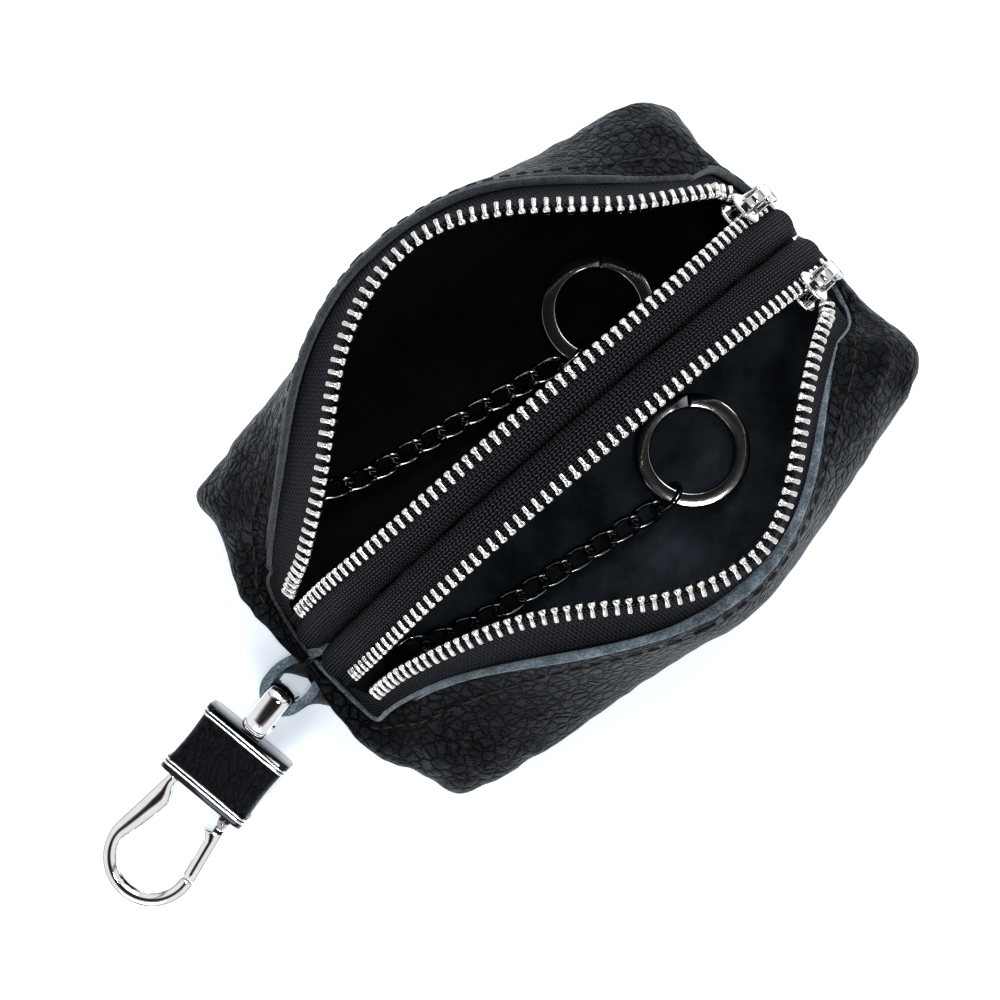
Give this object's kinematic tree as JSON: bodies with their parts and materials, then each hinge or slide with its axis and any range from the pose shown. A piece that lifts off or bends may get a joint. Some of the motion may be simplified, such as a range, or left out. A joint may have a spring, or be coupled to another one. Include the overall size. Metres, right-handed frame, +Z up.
{
  "type": "key case",
  "caption": "Soft leather key case with two zipped pockets, a key chain in each, and a swivel clip on a leather loop.",
  "frame": {"origin": "middle of the case's flat base", "axes": "+Z up, +X towards the zip sliders, -X towards the clip, +Y the left pocket"},
  "size_m": [0.2003, 0.0939, 0.0555],
  "materials": {
    "leather": "black pebbled full-grain leather, blue-grey raw edges",
    "suede": "black napped suede lining",
    "zip_tape": "black woven polyester tape",
    "zip_metal": "bright nickel-plated teeth",
    "chrome": "polished chrome plate",
    "black_nickel": "black nickel plate",
    "plain_steel": "plain steel, hidden"
  },
  "bodies": {
    "case": {"outer_leather": "leather", "center_partition": "suede", "left_lining": "suede", "right_lining": "suede", "left_inner_tape": "zip_tape", "right_inner_tape": "zip_tape", "left_inner_teeth": "zip_metal", "right_inner_teeth": "zip_metal", "bottom_stops": "zip_metal", "top_stops": "zip_metal", "hang_loop": "leather", "left_anchor_tab": "suede", "right_anchor_tab": "suede"},
    "left_slider": {"left_slider": "chrome", "left_crown": "chrome"},
    "left_pull": {"left_pull": "chrome"},
    "left_lip": {"left_outer_tape": "zip_tape", "left_outer_teeth": "zip_metal"},
    "right_slider": {"right_slider": "chrome", "right_crown": "chrome"},
    "right_pull": {"right_pull": "chrome"},
    "right_lip": {"right_outer_tape": "zip_tape", "right_outer_teeth": "zip_metal"},
    "left_anchor_ring": {"left_anchor_ring": "black_nickel"},
    "left_link_1": {"left_link_1": "black_nickel"},
    "left_link_2": {"left_link_2": "black_nickel"},
    "left_link_3": {"left_link_3": "black_nickel"},
    "left_link_4": {"left_link_4": "black_nickel"},
    "left_link_5": {"left_link_5": "black_nickel"},
    "left_link_6": {"left_link_6": "black_nickel"},
    "left_link_7": {"left_link_7": "black_nickel"},
    "left_link_8": {"left_link_8": "black_nickel"},
    "left_link_9": {"left_link_9": "black_nickel"},
    "left_link_10": {"left_link_10": "black_nickel"},
    "left_end_ring": {"left_end_ring": "black_nickel"},
    "left_split_ring": {"left_split_ring": "black_nickel"},
    "right_anchor_ring": {"right_anchor_ring": "black_nickel"},
    "right_link_1": {"right_link_1": "black_nickel"},
    "right_link_2": {"right_link_2": "black_nickel"},
    "right_link_3": {"right_link_3": "black_nickel"},
    "right_link_4": {"right_link_4": "black_nickel"},
    "right_link_5": {"right_link_5": "black_nickel"},
    "right_link_6": {"right_link_6": "black_nickel"},
    "right_link_7": {"right_link_7": "black_nickel"},
    "right_link_8": {"right_link_8": "black_nickel"},
    "right_link_9": {"right_link_9": "black_nickel"},
    "right_link_10": {"right_link_10": "black_nickel"},
    "right_end_ring": {"right_end_ring": "black_nickel"},
    "right_split_ring": {"right_split_ring": "black_nickel"},
    "swivel_eye": {"swivel_eye": "chrome"},
    "ferrule": {"swivel_post": "chrome", "top_collar": "chrome", "bottom_collar": "chrome", "leather_sleeve": "leather", "ferrule_core": "plain_steel", "bow": "chrome", "gate_pin": "plain_steel", "gate_spring": "plain_steel"},
    "gate": {"gate": "chrome"}
  },
  "joints": [
    {"name": "left_zip_run", "type": "hinge", "parent": "case", "child": "left_slider", "pos_m": [0, 0.0099, -0.01777], "axis": [0, -1, 0], "range_deg": [0, 102]},
    {"name": "left_pull_swing", "type": "hinge", "parent": "left_slider", "child": "left_pull", "pos_m": [0.06069, 0.0099, 0.02858], "axis": [0, -1, 0], "range_deg": [0, 140]},
    {"name": "left_lip_close", "type": "hinge", "parent": "case", "child": "left_lip", "pos_m": [0, 0.02, 0.01], "axis": [1, 0, 0], "range_deg": [0, 48.65], "deforming": ["left_outer_tape", "left_outer_teeth"]},
    {"name": "right_zip_run", "type": "hinge", "parent": "case", "child": "right_slider", "pos_m": [0, -0.0099, -0.01777], "axis": [0, -1, 0], "range_deg": [0, 102]},
    {"name": "right_pull_swing", "type": "hinge", "parent": "right_slider", "child": "right_pull", "pos_m": [0.06069, -0.0099, 0.02858], "axis": [0, -1, 0], "range_deg": [0, 140]},
    {"name": "right_lip_close", "type": "hinge", "parent": "case", "child": "right_lip", "pos_m": [0, -0.02, 0.01], "axis": [-1, 0, 0], "range_deg": [0, 41.24], "deforming": ["right_outer_tape", "right_outer_teeth"]},
    {"name": "left_anchor_swing", "type": "hinge", "parent": "case", "child": "left_anchor_ring", "pos_m": [-0.04921, 0.02687, 0.0065], "axis": [-0.4094, -0.9124, 0], "range_deg": [0, 6]},
    {"name": "left_link_1_swing", "type": "hinge", "parent": "left_anchor_ring", "child": "left_link_1", "pos_m": [-0.0439, 0.02449, 0.0065], "axis": [-0.4094, -0.9124, 0], "range_deg": [0, 5]},
    {"name": "left_link_2_swing", "type": "hinge", "parent": "left_link_1", "child": "left_link_2", "pos_m": [-0.03888, 0.02224, 0.0065], "axis": [0.2979, 0.9546, 0], "range_deg": [-6, 0]},
    {"name": "left_link_3_swing", "type": "hinge", "parent": "left_link_2", "child": "left_link_3", "pos_m": [-0.03363, 0.0206, 0.0065], "axis": [-0.1822, -0.9833, 0], "range_deg": [0, 5]},
    {"name": "left_link_4_swing", "type": "hinge", "parent": "left_link_3", "child": "left_link_4", "pos_m": [-0.02822, 0.0196, 0.0065], "axis": [0.1822, 0.9833, 0], "range_deg": [-6, 0]},
    {"name": "left_link_5_swing", "type": "hinge", "parent": "left_link_4", "child": "left_link_5", "pos_m": [-0.02282, 0.0186, 0.0065], "axis": [-0.1822, -0.9833, 0], "range_deg": [0, 5]},
    {"name": "left_link_6_swing", "type": "hinge", "parent": "left_link_5", "child": "left_link_6", "pos_m": [-0.01741, 0.01759, 0.0065], "axis": [0.1822, 0.9833, 0], "range_deg": [-8, 0]},
    {"name": "left_link_7_swing", "type": "hinge", "parent": "left_link_6", "child": "left_link_7", "pos_m": [-0.012, 0.01659, 0.0065], "axis": [-0.1822, -0.9833, 0], "range_deg": [0, 8]},
    {"name": "left_link_8_swing", "type": "hinge", "parent": "left_link_7", "child": "left_link_8", "pos_m": [-0.00659, 0.01559, 0.0065], "axis": [0.1822, 0.9833, 0], "range_deg": [-10, 0]},
    {"name": "left_link_9_swing", "type": "hinge", "parent": "left_link_8", "child": "left_link_9", "pos_m": [-0.00118, 0.01459, 0.0065], "axis": [-0.1822, -0.9833, 0], "range_deg": [0, 12]},
    {"name": "left_link_10_swing", "type": "hinge", "parent": "left_link_9", "child": "left_link_10", "pos_m": [0.00422, 0.01358, 0.0065], "axis": [0.1822, 0.9833, 0], "range_deg": [-16, 0]},
    {"name": "left_end_ring_swing", "type": "hinge", "parent": "left_link_10", "child": "left_end_ring", "pos_m": [0.00963, 0.01258, 0.0065], "axis": [0.0436, -0.999, 0], "range_deg": [0, 8]},
    {"name": "left_split_ring_swing", "type": "hinge", "parent": "left_end_ring", "child": "left_split_ring", "pos_m": [0.01303, 0.01273, 0.0065], "axis": [-0.2672, 0.9636, 0], "range_deg": [-40, 0]},
    {"name": "right_anchor_swing", "type": "hinge", "parent": "case", "child": "right_anchor_ring", "pos_m": [-0.05357, -0.01081, 0.0065], "axis": [-0.342, -0.9397, 0], "range_deg": [0, 6]},
    {"name": "right_link_1_swing", "type": "hinge", "parent": "right_anchor_ring", "child": "right_link_1", "pos_m": [-0.0481, -0.0128, 0.0065], "axis": [-0.342, -0.9397, 0], "range_deg": [0, 5]},
    {"name": "right_link_2_swing", "type": "hinge", "parent": "right_link_1", "child": "right_link_2", "pos_m": [-0.04293, -0.01468, 0.0065], "axis": [0.2756, 0.9613, 0], "range_deg": [-6, 0]},
    {"name": "right_link_3_swing", "type": "hinge", "parent": "right_link_2", "child": "right_link_3", "pos_m": [-0.03764, -0.0162, 0.0065], "axis": [-0.2079, -0.9781, 0], "range_deg": [0, 5]},
    {"name": "right_link_4_swing", "type": "hinge", "parent": "right_link_3", "child": "right_link_4", "pos_m": [-0.03227, -0.01734, 0.0065], "axis": [0.1392, 0.9903, 0], "range_deg": [-6, 0]},
    {"name": "right_link_5_swing", "type": "hinge", "parent": "right_link_4", "child": "right_link_5", "pos_m": [-0.02682, -0.0181, 0.0065], "axis": [-0.1392, -0.9903, 0], "range_deg": [0, 5]},
    {"name": "right_link_6_swing", "type": "hinge", "parent": "right_link_5", "child": "right_link_6", "pos_m": [-0.02137, -0.01887, 0.0065], "axis": [0.1392, 0.9903, 0], "range_deg": [-8, 0]},
    {"name": "right_link_7_swing", "type": "hinge", "parent": "right_link_6", "child": "right_link_7", "pos_m": [-0.01593, -0.01963, 0.0065], "axis": [-0.1392, -0.9903, 0], "range_deg": [0, 8]},
    {"name": "right_link_8_swing", "type": "hinge", "parent": "right_link_7", "child": "right_link_8", "pos_m": [-0.01048, -0.0204, 0.0065], "axis": [0.1392, 0.9903, 0], "range_deg": [-10, 0]},
    {"name": "right_link_9_swing", "type": "hinge", "parent": "right_link_8", "child": "right_link_9", "pos_m": [-0.00503, -0.02117, 0.0065], "axis": [-0.1392, -0.9903, 0], "range_deg": [0, 12]},
    {"name": "right_link_10_swing", "type": "hinge", "parent": "right_link_9", "child": "right_link_10", "pos_m": [0.00041, -0.02193, 0.0065], "axis": [0.1392, 0.9903, 0], "range_deg": [-16, 0]},
    {"name": "right_end_ring_swing", "type": "hinge", "parent": "right_link_10", "child": "right_end_ring", "pos_m": [0.00586, -0.0227, 0.0065], "axis": [0.1219, -0.9925, 0], "range_deg": [0, 8]},
    {"name": "right_split_ring_swing", "type": "hinge", "parent": "right_end_ring", "child": "right_split_ring", "pos_m": [0.00924, -0.02228, 0.0065], "axis": [-0.3746, 0.9272, 0], "range_deg": [-40, 0]},
    {"name": "clip_swing", "type": "hinge", "parent": "case", "child": "swivel_eye", "pos_m": [-0.0757, -0.0014, 0.0072], "axis": [0, 0, 1], "range_deg": [-40, 40]},
    {"name": "clip_swivel", "type": "hinge", "parent": "swivel_eye", "child": "ferrule", "pos_m": [-0.08752, -0.00348, 0.0072], "axis": [-0.9848, -0.1736, 0], "continuous": true},
    {"name": "gate_open", "type": "hinge", "parent": "ferrule", "child": "gate", "pos_m": [-0.10388, -0.0135, 0.0072], "axis": [0, 0, -1], "range_deg": [0, 28], "stiffness_Nm_per_rad": 0.01, "springref_deg": -28.65}
  ],
  "couplings": [
    {"joint": "left_lip_close", "follows": "left_zip_run", "ratio": 0.4769},
    {"joint": "right_lip_close", "follows": "right_zip_run", "ratio": 0.4043}
  ]
}
